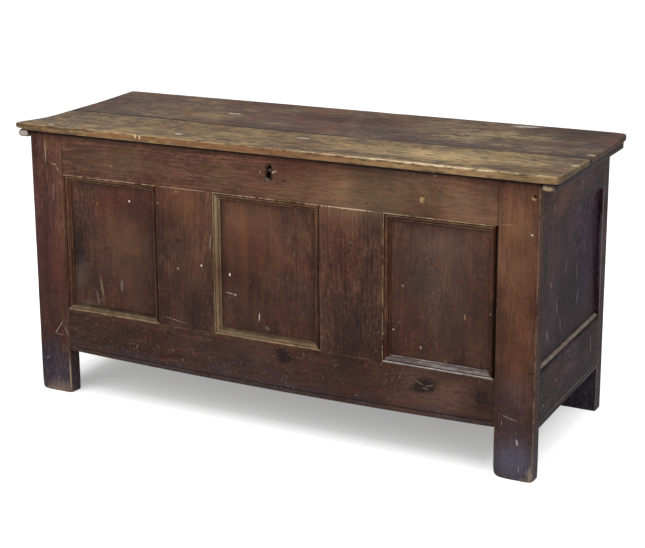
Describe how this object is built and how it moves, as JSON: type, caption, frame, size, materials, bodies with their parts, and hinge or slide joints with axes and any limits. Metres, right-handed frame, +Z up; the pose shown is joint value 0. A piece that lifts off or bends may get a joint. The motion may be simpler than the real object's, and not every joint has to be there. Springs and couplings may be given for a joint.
{
  "type": "joined oak chest",
  "caption": "Joined oak chest on stile feet: pegged frames with moulded panels, a hinged plank lid and a lock behind the keyhole.",
  "frame": {"origin": "on the floor, under the middle of the chest", "axes": "+X to the right of the front, along the length; +Y to the back; +Z up; the front faces -Y"},
  "size_m": [1.378, 0.5192, 0.6839],
  "materials": {
    "cleat_oak": "oak, weathered",
    "floor_oak": "oak, dry and unfinished",
    "front_oak": "oak, waxed",
    "hinge_iron": "forged and rusted brown",
    "lid_oak": "oak, worn and streaked",
    "lock_iron": "forged, dark",
    "moulding_oak": "oak, waxed and worn",
    "nail_iron": "forged, dark",
    "panel_oak": "quartered oak, dark wax",
    "peg_oak": "riven oak, worn",
    "rear_oak": "oak, dry",
    "side_oak": "oak, dark wax",
    "stile_oak": "oak, dark wax"
  },
  "bodies": {
    "chest": {"floor_board_1": "floor_oak", "floor_board_2": "floor_oak", "floor_board_3": "floor_oak", "floor_board_4": "floor_oak", "hinge_leaf_left": "hinge_iron", "hinge_leaf_right": "hinge_iron", "hinge_pin_left": "hinge_iron", "hinge_pin_right": "hinge_iron", "ledger_front": "floor_oak", "ledger_rear": "floor_oak", "lock_case": "lock_iron", "lock_plate": "lock_iron", "moulding_centre_bottom": "moulding_oak", "moulding_centre_left": "moulding_oak", "moulding_centre_right": "moulding_oak", "moulding_centre_top": "moulding_oak", "moulding_left_bottom": "moulding_oak", "moulding_left_left": "moulding_oak", "moulding_left_right": "moulding_oak", "moulding_left_top": "moulding_oak", "moulding_right_bottom": "moulding_oak", "moulding_right_left": "moulding_oak", "moulding_right_right": "moulding_oak", "moulding_right_top": "moulding_oak", "muntin_front_left": "front_oak", "muntin_front_right": "front_oak", "muntin_rear_left": "rear_oak", "muntin_rear_right": "rear_oak", "nails_chest": "nail_iron", "panel_front_centre": "panel_oak", "panel_front_left": "panel_oak", "panel_front_right": "panel_oak", "panel_rear_centre": "rear_oak", "panel_rear_left": "rear_oak", "panel_rear_right": "rear_oak", "panel_side_left": "side_oak", "panel_side_right": "side_oak", "pegs": "peg_oak", "rail_front_bottom": "front_oak", "rail_front_top": "front_oak", "rail_rear_bottom": "rear_oak", "rail_rear_top": "rear_oak", "rail_side_left_bottom": "side_oak", "rail_side_left_top": "side_oak", "rail_side_right_bottom": "side_oak", "rail_side_right_top": "side_oak", "stile_front_left": "stile_oak", "stile_front_right": "stile_oak", "stile_rear_left": "stile_oak", "stile_rear_right": "stile_oak"},
    "lid": {"cleat_left": "cleat_oak", "cleat_right": "cleat_oak", "hinge_strap_left": "hinge_iron", "hinge_strap_right": "hinge_iron", "lid_board_front": "lid_oak", "lid_board_rear": "lid_oak", "lid_hasp": "lock_iron", "nails_lid": "nail_iron"},
    "bolt": {"lock_bolt": "lock_iron"}
  },
  "joints": [
    {"name": "lid_hinge", "type": "hinge", "parent": "chest", "child": "lid", "pos_m": [0, 0.25495, 0.66135], "axis": [-1, 0, 0], "range_deg": [0, 100]},
    {"name": "bolt_slide", "type": "slide", "parent": "chest", "child": "bolt", "axis": [1, 0, 0], "range_m": [0, 0.012]}
  ]
}
